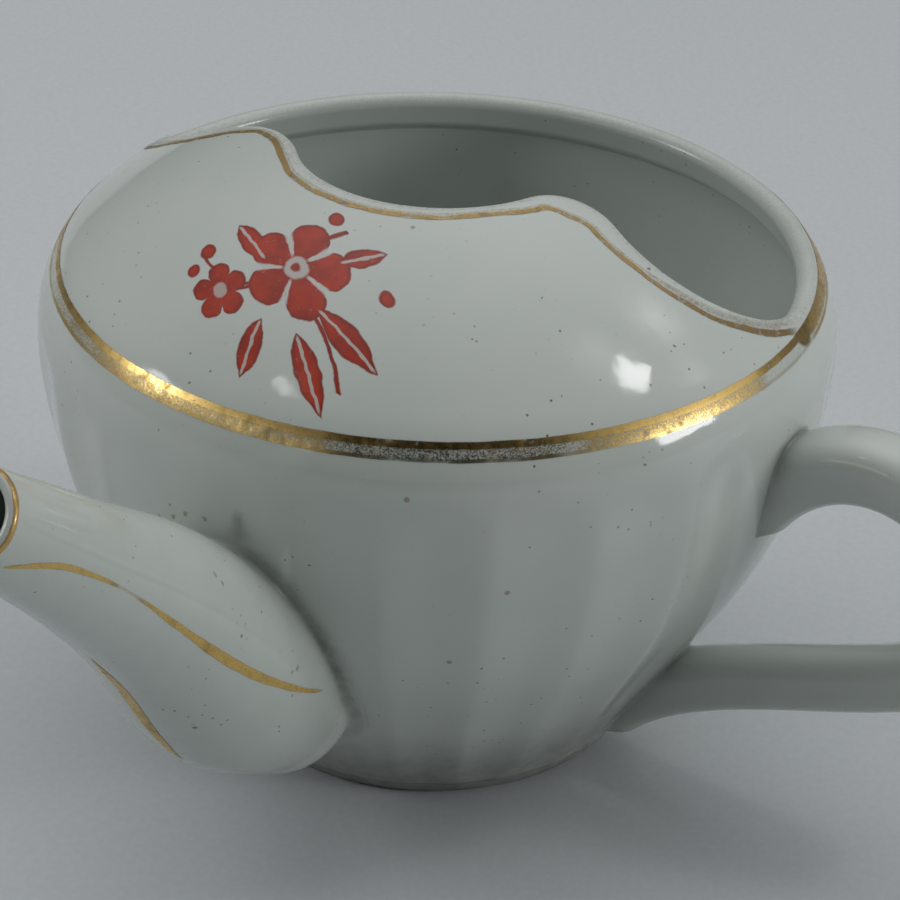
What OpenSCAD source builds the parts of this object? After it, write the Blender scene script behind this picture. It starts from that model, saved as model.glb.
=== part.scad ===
// Invalid feeder: a fluted porcelain cup with a spout, a loop handle and a domed half cover.
// Millimetres. The origin is the middle of the foot on the table and +Z is up.
// The spout points along -X, the open half lies towards +X and the handle along -Y.

/* [Bowl] */
// Outer diameter at the widest point of the bowl
belly_d = 103.6; // [100:0.2:106]
// Height of the widest point above the table
belly_z = 57; // [56:0.5:58]
// Radius of the curve under the belly
wall_curve_r = 61; // [58:0.5:66]
// Lean of the straight lower wall, in degrees from upright
wall_lean = 32.2; // [30:0.2:34]
// Thickness of the bowl wall
wall_t = 2.8; // [2.2:0.1:3.4]
// Thickness of the floor
floor_t = 3.5; // [2.5:0.1:5]
// Number of flutes round the bowl
flute_count = 24; // [16:1:30]
// Depth of a flute
flute_depth = 0.8; // [0.4:0.05:1]
// Height at which the flutes have run out under the shoulder
flute_top_z = 60; // [54:0.5:61]
// Length over which a flute runs out
flute_fade = 6; // [4:0.5:12]
// Diameter of the hole through the wall into the spout
pour_hole_d = 12; // [8:0.5:13]
// Height of that hole above the table
pour_hole_z = 29; // [27:0.5:31]

/* [Foot] */
// Height of the foot ring
foot_h = 2.5; // [1.5:0.1:3.5]
// Width of the foot ring where it stands on the table
foot_w = 4.5; // [3:0.1:7]

/* [Cover] */
// Radius of the rounded shoulder between the wall and the dome
shoulder_r = 14.1; // [13.5:0.1:15]
// Radius of the dome of the cover
dome_r = 72; // [68:0.5:78]
// Thickness of the cover
cover_t = 3; // [2.4:0.1:3.4]
// Height of the seam where the cover sits on the bowl
seam_z = 61.7; // [61.2:0.1:62.2]
// Height at which the low drinking rim on the open half starts to round over
rim_z = 66; // [65.8:0.1:66.6]
// Width of the ring by which the cover sits on the bowl
ring_w = 4.5; // [4:0.1:5]

/* [Bow edge] */
// Radius of the dip in the middle of the edge
dip_r = 18.7; // [17.8:0.1:19.6]
// Distance from the axis to the deepest point of the dip, towards the spout
dip_reach = 19.1; // [18:0.1:20.2]
// Radius of the horn on each side of the dip
horn_r = 8.4; // [7.8:0.1:9]
// Distance of a horn from the middle plane
horn_side = 24.5; // [24:0.1:25]
// Radius of the scallop between a horn and the rim
scallop_r = 13; // [12.4:0.1:13.6]

/* [Spout] */
// Height at which the middle of the spout leaves the wall
spout_root_z = 20.5; // [19:0.5:22]
// Diameter of the spout there
spout_root_d = 21; // [19:0.2:22]
// Fullest point of the spout: distance beyond the belly
spout_full_out = 0.2; // [-2:0.2:2]
// Fullest point of the spout: height above the table
spout_full_z = 31.3; // [30:0.1:33]
// Diameter at the fullest point
spout_full_d = 25.2; // [23:0.2:26]
// Waist of the spout: distance beyond the belly
spout_waist_out = 14.8; // [12:0.2:17]
// Waist of the spout: height above the table
spout_waist_z = 47.9; // [46:0.1:50]
// Diameter at the waist
spout_waist_d = 20.4; // [18:0.2:22]
// Neck of the spout: distance beyond the belly
spout_neck_out = 30.6; // [28:0.2:33]
// Neck of the spout: height above the table
spout_neck_z = 62.2; // [60:0.1:64]
// Diameter at the neck
spout_neck_d = 15.4; // [14:0.2:17]
// Tip of the spout: distance beyond the belly
spout_tip_out = 48.8; // [45:0.2:52]
// Tip of the spout: height above the table
spout_tip_z = 77.6; // [75:0.1:80]
// Diameter at the tip
spout_tip_d = 12; // [10.6:0.2:13]
// Thickness of the spout's wall at the root
spout_root_t = 2.6; // [2:0.1:3.2]
// Thickness of the spout's wall at the tip
spout_tip_t = 1.5; // [1.2:0.1:2]

/* [Handle] */
// Height of the root of the upper arm
handle_top_z = 42; // [40:0.5:44]
// Pull on the upper arm near its root: distance beyond the belly
handle_rise_out = 3.4; // [1:0.2:6]
// Pull on the upper arm near its root: height above the table
handle_rise_z = 57.4; // [55:0.2:59]
// Pull on the upper arm towards the back: distance beyond the belly
handle_turn_out = 22.3; // [20:0.2:25]
// Pull on the upper arm towards the back: height above the table
handle_turn_z = 57.5; // [55:0.2:59]
// Outermost point of the loop: distance beyond the belly
handle_back_out = 27.3; // [25:0.2:30]
// Outermost point of the loop: height above the table
handle_back_z = 40.3; // [38:0.1:42]
// Pull on the lower arm under the back: distance beyond the belly
handle_drop_out = 32.8; // [30:0.2:35]
// Pull on the lower arm under the back: height above the table
handle_drop_z = 21.3; // [19:0.2:23]
// Pull on the lower arm near its root: distance beyond the belly
handle_sweep_out = -3.8; // [-6:0.2:-1]
// Pull on the lower arm near its root: height above the table
handle_sweep_z = 23.5; // [21:0.2:26]
// Height of the root of the lower arm
handle_foot_z = 7.6; // [7:0.1:10]
// Thickness of the handle at its upper root
handle_top_t = 9.8; // [8:0.1:11]
// Width of the handle at its upper root
handle_top_w = 11.2; // [9:0.1:13]
// Thickness of the handle at its lower root
handle_foot_t = 7.8; // [6:0.1:8.6]
// Width of the handle at its lower root
handle_foot_w = 9; // [7:0.1:11]
// Extra on every side where the handle meets the wall
handle_flare = 1; // [0:0.1:1.4]

/* [Gilding] */
// Thickness that stands in for a gilded layer
gilt_t = 0.12; // [0.1:0.01:0.2]
// Height of the lower edge of the shoulder band
band_z0 = 63.9; // [63.8:0.1:64.1]
// Height of the upper edge of the shoulder band
band_z1 = 65.7; // [65.3:0.1:65.8]
// Distance of the gold line from the rounded part of the bow edge
line_in = 0.8; // [0.6:0.1:1]
// Width of the gold line
line_w = 1.1; // [0.8:0.1:1.2]

/* [Hidden] */
$fn = 96;
porcelain = [0.93, 0.94, 0.92];
biscuit = [0.86, 0.84, 0.79];
gold = [0.80, 0.60, 0.24];
// gap left between luted faces, so that they touch without cutting into each other
seat_gap = 0.02;
// depth to which the ends of the handle start inside the wall, before they are cut to it
handle_sink = 2.4;
// bare edge left on each side of the gilding on the spout's end face
lip_in = 0.05;
// more than any size of the cup, for cutting tools
far = 200;

// section of the body: a straight wall, the curve under the belly, the shoulder and the dome
belly_r = belly_d / 2;
wall_c = [belly_r - wall_curve_r, belly_z];
lean_dir = [cos(wall_lean), -sin(wall_lean)];
bend = wall_c + wall_curve_r * lean_dir;
foot_r = bend[0] - bend[1] * tan(wall_lean);
shoulder_c = [belly_r - shoulder_r, belly_z];
dome_c = [0, belly_z - sqrt(pow(dome_r - shoulder_r, 2) - pow(shoulder_c[0], 2))];
dome_dir = (shoulder_c - dome_c) / (dome_r - shoulder_r);

// radius of the outside of the wall, and its lean in degrees
function wall_at(z) = z < bend[1] ? foot_r + z * tan(wall_lean)
  : z < belly_z ? wall_c[0] + sqrt(pow(wall_curve_r, 2) - pow(belly_z - z, 2))
  : shoulder_c[0] + sqrt(pow(shoulder_r, 2) - pow(z - belly_z, 2));
function lean_at(z) = z < bend[1] ? wall_lean
  : asin((belly_z - z) / (z < belly_z ? wall_curve_r : shoulder_r));
// height of the top of the shoulder and the dome, t outside the glaze
function cover_at(r, t) = r < dome_dir[0] * (dome_r + t)
  ? dome_c[1] + sqrt(pow(dome_r + t, 2) - r * r)
  : belly_z + sqrt(pow(shoulder_r + t, 2) - pow(r - shoulder_c[0], 2));

// the flutes stop where the spout and the handle are luted on
spout_clear = 17;
handle_clear = 10;
clear_fade = 8;
function ease(u) = let (v = max(0, min(1, u))) v * v * (3 - 2 * v);
function flute_at(z, a) = flute_depth * pow((1 + cos(flute_count * a)) / 2, 0.7)
  * ease((flute_top_z - z) / flute_fade)
  * ease((abs(a - 180) - spout_clear) / clear_fade)
  * ease((abs(a - 270) - handle_clear) / clear_fade);
// rings of the bowl: up the fluted outside, then down the smooth inside to the floor
bowl_sides = 6 * flute_count;
bowl_up = 12;
bowl_down = 7;
function bowl_ring(z, inside) =
  [for (j = [0 : bowl_sides - 1])
    let (a = 360 * j / bowl_sides, r = wall_at(z) - (inside ? wall_t / cos(lean_at(z)) : flute_at(z, a)))
    [r * cos(a), r * sin(a), z]];
function bowl_z(u, z0) = z0 + (seam_z - z0) * sin(90 * u);

// inner radius of the ring by which the cover sits on the bowl
ring_in = wall_at(seam_z) - ring_w;
// half the thickness of the cover is the radius of its rounded edge
edge_r = cover_t / 2;
// a scallop runs into the rim, which gives the distance of its middle from the axis
scallop_far = wall_at(rim_z) - edge_r - scallop_r;
// middles of the arcs of the bow edge, as [towards the opening, sideways]
dip_c = [dip_r - dip_reach, 0];
horn_c = [dip_c[0] - sqrt(pow(dip_r + horn_r, 2) - pow(horn_side, 2)), horn_side];
scallop_c =
  let (d = norm(horn_c), u = horn_c / d,
    along = (pow(scallop_far, 2) - pow(horn_r + scallop_r, 2) + d * d) / (2 * d))
  along * u + sqrt(pow(scallop_far, 2) - along * along) * [u[1], -u[0]];
function heading(a, b) = atan2(b[1] - a[1], b[0] - a[0]);
// radius of the outer side of the gold line on a scallop, and bearing there at which it meets the band
line_far = scallop_r + edge_r + line_in + line_w;
line_end = heading([0, 0], scallop_c) + acos(
  (pow(wall_at(band_z1 + 0.2), 2) - pow(scallop_far, 2) - pow(line_far, 2)) / (2 * scallop_far * line_far));
// points along the bow edge, from one end to the other; grow moves it away from the opening
function arc(c, r, a0, a1, n) =
  [for (k = [1 : n]) let (a = a0 + (a1 - a0) * k / n) c + r * [cos(a), sin(a)]];
function half_bow(grow, a) = concat(
  [scallop_c + (scallop_r + grow) * [cos(a), sin(a)]],
  arc(scallop_c, scallop_r + grow, a, 360 + heading(scallop_c, horn_c), 10),
  arc(horn_c, horn_r - grow, heading(horn_c, scallop_c), heading(horn_c, dip_c), 10),
  arc(dip_c, dip_r + grow, heading(dip_c, horn_c), 180, 8));
function bow(grow, a = heading([0, 0], scallop_c)) =
  let (h = half_bow(grow, a))
  concat(h, [for (k = [len(h) - 2 : -1 : 0]) [h[k][0], -h[k][1]]]);

// edge of the mouth where it starts to round over: the bow edge, then the rim round the open half
rim_steps = 36;
mouth_edge =
  let (b = bow(edge_r), a = heading([0, 0], b[0]))
  concat(b, [for (k = [1 : rim_steps - 1])
    let (c = 2 * a * k / rim_steps - a) norm(b[0]) * [cos(c), sin(c)]]);
mouth_n = len(mouth_edge);
// the sections of the cover fan out from a point in the mouth to the seam
fan_c = [20, 0];
function fan_point(k) =
  let (u = (mouth_edge[k] - fan_c) / norm(mouth_edge[k] - fan_c), b = fan_c * u)
  fan_c + u * (sqrt(b * b - fan_c * fan_c + pow(wall_at(seam_z), 2)) - b);
seam_ring = [for (k = [0 : mouth_n - 1]) fan_point(k)];
function on_cover(p, t = 0) = [p[0], p[1], cover_at(norm(p), t)];
// direction out of the cover, and direction from its edge into the mouth
function cover_out(p) =
  let (r = norm(p), d = [r, cover_at(r, 0)] - (r < dome_dir[0] * dome_r ? dome_c : shoulder_c))
  [p[0] / r * d[0], p[1] / r * d[0], d[1]] / norm(d);
function mouth_in(k) =
  let (ahead = on_cover(mouth_edge[(k + 1) % mouth_n]),
    behind = on_cover(mouth_edge[(k + mouth_n - 1) % mouth_n]),
    c = cross(cover_out(mouth_edge[k]), ahead - behind))
  c / norm(c);
// rings of the cover: from the seam up to the edge, round it, and back underneath
cover_up = 8;
function cover_ring(w) =
  [for (k = [0 : mouth_n - 1]) on_cover(seam_ring[k] + (mouth_edge[k] - seam_ring[k]) * w)];
function edge_ring(a) =
  [for (k = [0 : mouth_n - 1])
    let (n = cover_out(mouth_edge[k]))
    on_cover(mouth_edge[k]) + edge_r * (n * (cos(a) - 1) + mouth_in(k) * sin(a))];
function under_ring(w) =
  [for (k = [0 : mouth_n - 1])
    let (e = on_cover(mouth_edge[k]) - cover_t * cover_out(mouth_edge[k]), q = [e[0], e[1]],
      p = q + (ring_in * seam_ring[k] / norm(seam_ring[k]) - q) * w)
    norm(q) < ring_in ? on_cover(p, -cover_t) : [p[0], p[1], e[2] + (seam_z - e[2]) * w * 0.8]];
function seat_ring() =
  [for (p = seam_ring) let (q = ring_in * p / norm(p)) [q[0], q[1], seam_z]];

// stations of the spout: distance from the axis, height, radius
spout_stations = [
  [wall_at(spout_root_z), spout_root_z, spout_root_d / 2],
  [belly_r + spout_full_out, spout_full_z, spout_full_d / 2],
  [belly_r + spout_waist_out, spout_waist_z, spout_waist_d / 2],
  [belly_r + spout_neck_out, spout_neck_z, spout_neck_d / 2],
  [belly_r + spout_tip_out, spout_tip_z, spout_tip_d / 2]];
spout_steps = 16;
spout_sides = 36;
// point on a smooth curve through the stations
function station(k) = spout_stations[max(0, min(len(spout_stations) - 1, k))];
function curve(a, b, c, d, u) =
  0.5 * (2 * b + (c - a) * u + (2 * a - 5 * b + 4 * c - d) * u * u + (3 * b - a - 3 * c + d) * u * u * u);
function spout_at(u) =
  let (x = u * (len(spout_stations) - 1), k = min(floor(x), len(spout_stations) - 2))
  curve(station(k - 1), station(k), station(k + 1), station(k + 2), x - k);
function spout_dir(u) =
  let (d = spout_at(min(1, u + 0.01)) - spout_at(max(0, u - 0.01)))
  [d[0], d[1]] / norm([d[0], d[1]]);
// point a degrees round the spout from its upper side, and a ring of such points
function spout_point(c, d, r, a) =
  [-c[0] + r * cos(a) * d[1], r * sin(a), c[1] + r * cos(a) * d[0]];
function spout_ring(c, d, r) =
  [for (j = [0 : spout_sides - 1]) spout_point(c, d, r, 360 * (j + 0.5) / spout_sides)];
// rings of the rounded root end, then rings up to the tip; t0 and t1 are taken off the radius
function root_ring(r, a) =
  let (c = spout_at(0), d = spout_dir(0))
  spout_ring([c[0], c[1]] - r * sin(a) * d, d, r * cos(a));
function spout_rings(t0, t1) = concat(
  [for (a = [75 : -25 : 25]) root_ring(spout_root_d / 2 - t0, a)],
  [for (k = [0 : spout_steps])
    let (u = k / spout_steps, p = spout_at(u))
    spout_ring(p, spout_dir(u), p[2] - t0 - (t1 - t0) * u)]);
function backwards(list) = [for (k = [len(list) - 1 : -1 : 0]) list[k]];

// middle line of the handle: two joined curves, each drawn by two pulls
handle_steps = 26;
handle_sides = 24;
handle_back = [belly_r + handle_back_out, handle_back_z];
function pull(a, b, c, d, u) =
  a * pow(1 - u, 3) + 3 * b * pow(1 - u, 2) * u + 3 * c * (1 - u) * u * u + d * pow(u, 3);
function upper_arm(u) = pull([wall_at(handle_top_z) - handle_sink, handle_top_z],
  [belly_r + handle_rise_out, handle_rise_z], [belly_r + handle_turn_out, handle_turn_z], handle_back, u);
function lower_arm(u) = pull(handle_back, [belly_r + handle_drop_out, handle_drop_z],
  [belly_r + handle_sweep_out, handle_sweep_z], [wall_at(handle_foot_z) - handle_sink, handle_foot_z], u);
function handle_at(u) = u < 0.5 ? upper_arm(2 * u) : lower_arm(2 * u - 1);
function handle_dir(u) =
  let (d = handle_at(min(1, u + 0.01)) - handle_at(max(0, u - 0.01)))
  d / norm(d);
// the arms flare a little where they meet the wall
function handle_half(top, foot, u) = (top + (foot - top) * u) / 2 + handle_flare * pow(abs(2 * u - 1), 10);
function handle_ring(u) =
  let (c = handle_at(u), d = handle_dir(u),
    t = handle_half(handle_top_t, handle_foot_t, u), w = handle_half(handle_top_w, handle_foot_w, u))
  [for (j = [0 : handle_sides - 1])
    let (a = 360 * j / handle_sides)
    [w * sin(a), -c[0] + t * cos(a) * d[1], c[1] + t * cos(a) * d[0]]];

// skin over rings with the same number of points, closed by two ends or by joining them
module skin(rings, joined = false) {
  n = len(rings[0]);
  m = len(rings);
  last = joined ? m - 1 : m - 2;
  polyhedron(
    points = [for (r = rings) for (p = r) p],
    faces = concat(
      joined ? [] : [[for (j = [0 : n - 1]) j], [for (j = [n - 1 : -1 : 0]) (m - 1) * n + j]],
      [for (k = [0 : last]) for (j = [0 : n - 1])
        [k * n + j, (k + 1) % m * n + j, (k + 1) % m * n + (j + 1) % n]],
      [for (k = [0 : last]) for (j = [0 : n - 1])
        [k * n + j, (k + 1) % m * n + (j + 1) % n, k * n + (j + 1) % n]]));
}

// part of the right half plane between two heights
module between(z0, z1, r0 = 0, r1 = far) {
  translate([r0, z0]) square([r1 - r0, z1 - z0]);
}

// half plane section of the whole body, drawn in by t on every side
module body_outline(t = 0) {
  polygon([[0, -1], [foot_r - tan(wall_lean) - t / cos(wall_lean), -1], bend - t * lean_dir, wall_c,
    [0, belly_z]]);
  intersection() {
    translate(wall_c) circle(wall_curve_r - t);
    polygon([wall_c, 2 * bend - wall_c, [far, bend[1]], [far, belly_z]]);
  }
  intersection() {
    translate(shoulder_c) circle(shoulder_r - t);
    polygon([shoulder_c, [far, belly_z], shoulder_c + far * dome_dir]);
  }
  intersection() {
    translate(dome_c) circle(dome_r - t);
    polygon([dome_c, [0, far], dome_c + far * dome_dir]);
  }
  polygon([dome_c, shoulder_c, [0, belly_z]]);
}

module turned() {
  rotate_extrude() children();
}

module bowl() {
  color(porcelain) difference() {
    skin(concat(
      [for (k = [0 : bowl_up]) bowl_ring(bowl_z(k / bowl_up, foot_h), false)],
      [for (k = [bowl_down : -1 : 0]) bowl_ring(bowl_z(k / bowl_down, foot_h + floor_t), true)]));
    translate([0, 0, pour_hole_z]) rotate([0, -90, 0]) cylinder(d = pour_hole_d, h = far);
  }
}

module foot_ring() {
  color(biscuit) turned() intersection() {
    body_outline();
    between(0, foot_h, foot_r - foot_w);
  }
}

module half_cover() {
  color(porcelain) skin(concat(
    [for (k = [0 : cover_up]) cover_ring(pow(k / cover_up, 2))],
    [for (a = [45 : 45 : 180]) edge_ring(a)],
    [for (k = [1 : 3]) under_ring(k / 3)],
    [seat_ring()]), joined = true);
}

// block that the spout and the handle are cut to sit on
module seat() {
  turned() intersection() {
    body_outline(-seat_gap);
    between(-1, seam_z);
  }
}

module spout() {
  color(porcelain) difference() {
    skin(concat(spout_rings(0, 0), backwards(spout_rings(spout_root_t, spout_tip_t))), joined = true);
    seat();
  }
}

module handle() {
  color(porcelain) difference() {
    skin([for (k = [0 : handle_steps]) handle_ring(k / handle_steps)]);
    seat();
  }
}

module gilt_shoulder_band() {
  color(gold) turned() difference() {
    intersection() {
      body_outline(-gilt_t);
      between(band_z0, band_z1, shoulder_c[0]);
    }
    body_outline();
  }
}

// thin strip that follows the bow edge over the dome, down to the shoulder band
module gilt_cover_edge() {
  near = bow(edge_r + line_in, line_end);
  away = bow(edge_r + line_in + line_w, line_end);
  color(gold) skin([for (k = [0 : len(near) - 1])
    [for (p = [[near[k], seat_gap], [away[k], seat_gap], [away[k], gilt_t], [near[k], gilt_t]])
      on_cover(p[0], p[1])]]);
}

// ring on the end face of the spout
module gilt_spout_lip() {
  tip = spout_at(1);
  d = spout_dir(1);
  color(gold) translate([-tip[0], 0, tip[1]])
    rotate([0, -atan2(d[0], d[1]), 0])
      difference() {
        cylinder(r = tip[2] - lip_in, h = gilt_t);
        translate([0, 0, -1]) cylinder(r = tip[2] - spout_tip_t + lip_in, h = 3);
      }
}

// thin layer on one column of the spout's skin, a degrees from the upper side, between two stations
module stroke(a, k0, k1) {
  half = 180 / spout_sides;
  skin([for (k = [k0 : k1])
    let (u = k / spout_steps, p = spout_at(u), d = spout_dir(u))
    [spout_point(p, d, p[2], a - half), spout_point(p, d, p[2], a + half),
      spout_point(p, d, p[2] + gilt_t, a + half), spout_point(p, d, p[2] + gilt_t, a - half)]]);
}

module gilt_spout_strokes() {
  color(gold) {
    stroke(90, 2, spout_steps);
    stroke(270, 2, spout_steps);
    stroke(180, 4, 9);
  }
}

bowl();
foot_ring();
half_cover();
spout();
handle();
gilt_shoulder_band();
gilt_cover_edge();
gilt_spout_lip();
gilt_spout_strokes();
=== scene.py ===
from math import asin, atan2, cos, degrees, hypot, pi, radians, sin, sqrt, tan

import bmesh
import bpy
from mathutils import Matrix, Vector


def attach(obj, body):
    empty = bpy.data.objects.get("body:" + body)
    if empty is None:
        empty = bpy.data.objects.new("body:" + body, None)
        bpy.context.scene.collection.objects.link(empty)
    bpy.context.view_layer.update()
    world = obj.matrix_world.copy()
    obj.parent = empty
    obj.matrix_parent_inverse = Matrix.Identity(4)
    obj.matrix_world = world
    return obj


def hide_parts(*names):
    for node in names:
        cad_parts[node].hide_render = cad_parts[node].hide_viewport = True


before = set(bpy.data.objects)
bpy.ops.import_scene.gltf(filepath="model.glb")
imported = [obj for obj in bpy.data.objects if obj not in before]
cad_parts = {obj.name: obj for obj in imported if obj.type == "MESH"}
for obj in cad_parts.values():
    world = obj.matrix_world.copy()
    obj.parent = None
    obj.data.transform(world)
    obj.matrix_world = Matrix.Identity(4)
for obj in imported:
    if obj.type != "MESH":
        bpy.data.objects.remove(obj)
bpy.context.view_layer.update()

# Bowl: porcelain cast in a plaster mould and glazed inside and out. The outside is softly
# fluted and the inside smooth; a hole low in the wall feeds the spout. Sizes are millimetres.
MM = 0.001
foot_h, seam_z, belly_z = 2.5, 61.7, 57
wall_c, wall_r, wall_lean = -9.2, 61, radians(32.2)
shoulder_c, shoulder_r = 37.7, 14.1
bend_z = belly_z - wall_r * sin(wall_lean)
foot_r = wall_c + wall_r * cos(wall_lean) - bend_z * tan(wall_lean)
wall_t, floor_z = 2.8, 6
corner_z, corner_r, flat_r = 12, 24.5, 14
underside = [(0, 3.1), (10, 3), (20, 2.7)]
flute_count, flute_depth, flute_round = 24, 0.5, 0.7
flute_low, low_fade, flute_high, high_fade = 1, 5, 60, 6
spout_bearing, spout_clear = 180, 17
handle_bearing, handle_clear, side_fade = 270, 10, 8
hole_r, hole_z = 6, 29
drill_x, drill_length = -45, 30
merge, weld, near_skin = 1e-4, 0.003 * MM, 0.01
crisp = radians(40)


def ease(u):
    u = max(0, min(1, u))
    return u * u * (3 - 2 * u)


def evenly(first, last, steps):
    """Values from first to last in equal steps, both ends included."""
    return [first + (last - first) * k / steps for k in range(steps + 1)]


def bent(a, pull, b, w):
    """Point at the share w of a curve from a to b that leans towards pull."""
    return a * (1 - w) ** 2 + pull * 2 * w * (1 - w) + b * w * w


def wall_at(z):
    """Radius of the glazed outside at height z."""
    if z < bend_z:
        return foot_r + z * tan(wall_lean)
    if z < belly_z:
        return wall_c + sqrt(wall_r ** 2 - (belly_z - z) ** 2)
    return shoulder_c + sqrt(shoulder_r ** 2 - (z - belly_z) ** 2)


def lean_at(z):
    if z < bend_z:
        return wall_lean
    return asin((belly_z - z) / (wall_r if z < belly_z else shoulder_r))


def flute_at(z, bearing):
    """Depth of the flutes. They fade under the shoulder, at the foot, and by spout and handle."""
    wave = ((1 + cos(radians(flute_count * bearing))) / 2) ** flute_round
    return (flute_depth * wave
            * ease((flute_high - z) / high_fade) * ease((z - flute_low) / low_fade)
            * ease((abs(bearing - spout_bearing) - spout_clear) / side_fade)
            * ease((abs(bearing - handle_bearing) - handle_clear) / side_fade))


def turned(profile, steps, closed=False):
    """A shape of the potter's wheel: a profile of radius and height, spun right round."""
    bm = bmesh.new()
    line = [bm.verts.new((r, 0, z)) for r, z in profile]
    for a, b in zip(line, line[1:] + (line[:1] if closed else [])):
        bm.edges.new((a, b))
    bmesh.ops.spin(bm, geom=bm.verts[:] + bm.edges[:], cent=(0, 0, 0), axis=(0, 0, 1),
                   angle=2 * pi, steps=steps, use_merge=True)
    return bm


def placed(bm, name):
    """The object of a mesh that is already in its place, in metres."""
    mesh = bpy.data.meshes.new(name)
    bm.to_mesh(mesh)
    bm.free()
    made = bpy.data.objects.new(name, mesh)
    bpy.context.collection.objects.link(made)
    return made


def piece(bm, name, slot, *nodes, out=None):
    """The finished piece of a mesh in millimetres; out gives the way that an open sheet faces."""
    bmesh.ops.remove_doubles(bm, verts=bm.verts, dist=merge)
    bm.normal_update()
    if out:
        turned_in = [f for f in bm.faces if f.normal.dot(out(f.calc_center_median())) < 0]
        bmesh.ops.reverse_faces(bm, faces=turned_in)
    else:
        bmesh.ops.recalc_face_normals(bm, faces=bm.faces)
    bmesh.ops.scale(bm, vec=(MM, MM, MM), verts=bm.verts)
    made = placed(bm, name)
    made.data.shade_smooth()
    made.data.set_sharp_from_angle(angle=crisp)
    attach(made, "root")
    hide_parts(*nodes)
    return made


outer = [(wall_at(z), z) for z in evenly(foot_h, seam_z, 48)]
inner = [(wall_at(z) - wall_t / cos(lean_at(z)), z) for z in evenly(seam_z, corner_z, 36)]
low, turn, flat = Vector(inner[-1]), Vector((corner_r, floor_z)), Vector((flat_r, floor_z))
inner += [tuple(bent(low, turn, flat, w)) for w in evenly(0, 1, 10)[1:]]
bm = turned([*underside, *outer, *inner, (0, floor_z)], steps=480)
for v in bm.verts:
    r = hypot(v.co.x, v.co.y)
    if foot_h <= v.co.z <= seam_z and r > wall_at(v.co.z) - near_skin:
        pressed = 1 - flute_at(v.co.z, degrees(atan2(v.co.y, v.co.x)) % 360) / r
        v.co.x *= pressed
        v.co.y *= pressed
bowl = piece(bm, "bowl_porcelain", "glazed_porcelain", "bowl")

bm = bmesh.new()
aim = Matrix.Translation((drill_x * MM, 0, hole_z * MM)) @ Matrix.Rotation(pi / 2, 4, "Y")
bmesh.ops.create_cone(bm, cap_ends=True, segments=48, radius1=hole_r * MM, radius2=hole_r * MM,
                      depth=drill_length * MM, matrix=aim)
drill = placed(bm, "drill")
cut = bowl.modifiers.new("pour_hole", "BOOLEAN")
cut.object, cut.operation, cut.solver = drill, "DIFFERENCE", "EXACT"
bpy.context.view_layer.update()
cut_bowl = bowl.evaluated_get(bpy.context.evaluated_depsgraph_get())
drilled = bpy.data.meshes.new_from_object(cut_bowl)
bm = bmesh.new()
bm.from_mesh(drilled)
bmesh.ops.remove_doubles(bm, verts=bm.verts, dist=weld)
bmesh.ops.dissolve_degenerate(bm, edges=bm.edges, dist=weld)
bmesh.ops.recalc_face_normals(bm, faces=bm.faces)
bm.to_mesh(drilled)
bm.free()
bowl.modifiers.clear()
bowl.data = drilled
bpy.data.objects.remove(drill)


class Shade:
    """A socket of a material's tree. Arithmetic on it adds Math nodes."""

    def __init__(self, tree, socket=None):
        self.tree, self.socket = tree, socket

    def node(self, kind, settings={}, inputs={}, out=0):
        """Add a node with its settings and with the values or links of its sockets."""
        new = self.tree.nodes.new(kind)
        for name, value in settings.items():
            setattr(new, name, value)
        for key, value in inputs.items():
            if isinstance(value, Shade):
                self.tree.links.new(value.socket, new.inputs[key])
            else:
                new.inputs[key].default_value = value
        return Shade(self.tree, new.outputs[out])

    def math(self, kind, *values):
        return self.node("ShaderNodeMath", {"operation": kind}, dict(enumerate(values)))

    def __add__(self, other): return self.math("ADD", self, other)
    def __sub__(self, other): return self.math("SUBTRACT", self, other)
    def __rsub__(self, other): return self.math("SUBTRACT", other, self)
    def __mul__(self, other): return self.math("MULTIPLY", self, other)
    def __pow__(self, other): return self.math("POWER", self, other)
    def __abs__(self): return self.math("ABSOLUTE", self)
    __radd__, __rmul__ = __add__, __mul__

    def most(self, other): return self.math("MAXIMUM", self, other)

    def step(self, low, high):
        """From 0 at low to 1 at high, eased."""
        return self.node("ShaderNodeMapRange", {"interpolation_type": "SMOOTHSTEP"},
                         {0: self, 1: low, 2: high})

    def within(self, low, full_low, full_high, high):
        """1 between the two full values, eased to 0 at low and at high."""
        return self.step(low, full_low) * self.step(high, full_high)

    def blend(self, a, b):
        """Colour a where this is 0, colour b where it is 1."""
        return self.node("ShaderNodeMix", {"data_type": "RGBA"}, {0: self, 6: a, 7: b}, 2)

    def noise(self, scale, detail=2, roughness=0.5):
        return self.node("ShaderNodeTexNoise", {}, {"Vector": self, "Scale": scale,
                                                    "Detail": detail, "Roughness": roughness})

    def sway(self, scale, reach, detail=2):
        """A wobble of up to half of reach to both sides."""
        return (self.noise(scale, detail) - 0.5) * reach

    def spots(self, apart, size, share):
        """Round spots of about size in a share of cells that are apart wide, in millimetres."""
        cell = {"Vector": self, "Scale": 1 / apart}
        near = self.node("ShaderNodeTexVoronoi", {}, cell)
        tint = self.node("ShaderNodeTexVoronoi", {}, cell, 1)
        pick = self.node("ShaderNodeSeparateColor", {}, {0: tint})
        return near.step(0.5 * size / apart, 0.3 * size / apart) * pick.step(share, share - 0.02)

    def axis(self, number):
        return self.node("ShaderNodeSeparateXYZ", {}, {0: self}, number)

    def off(self, place):
        return self.node("ShaderNodeVectorMath", {"operation": "DISTANCE"},
                         {0: self, 1: place}, "Value")

    def layer(self, name):
        """A value that the points of the piece carry."""
        return self.node("ShaderNodeAttribute", {"attribute_name": name}, {}, "Fac")


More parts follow.
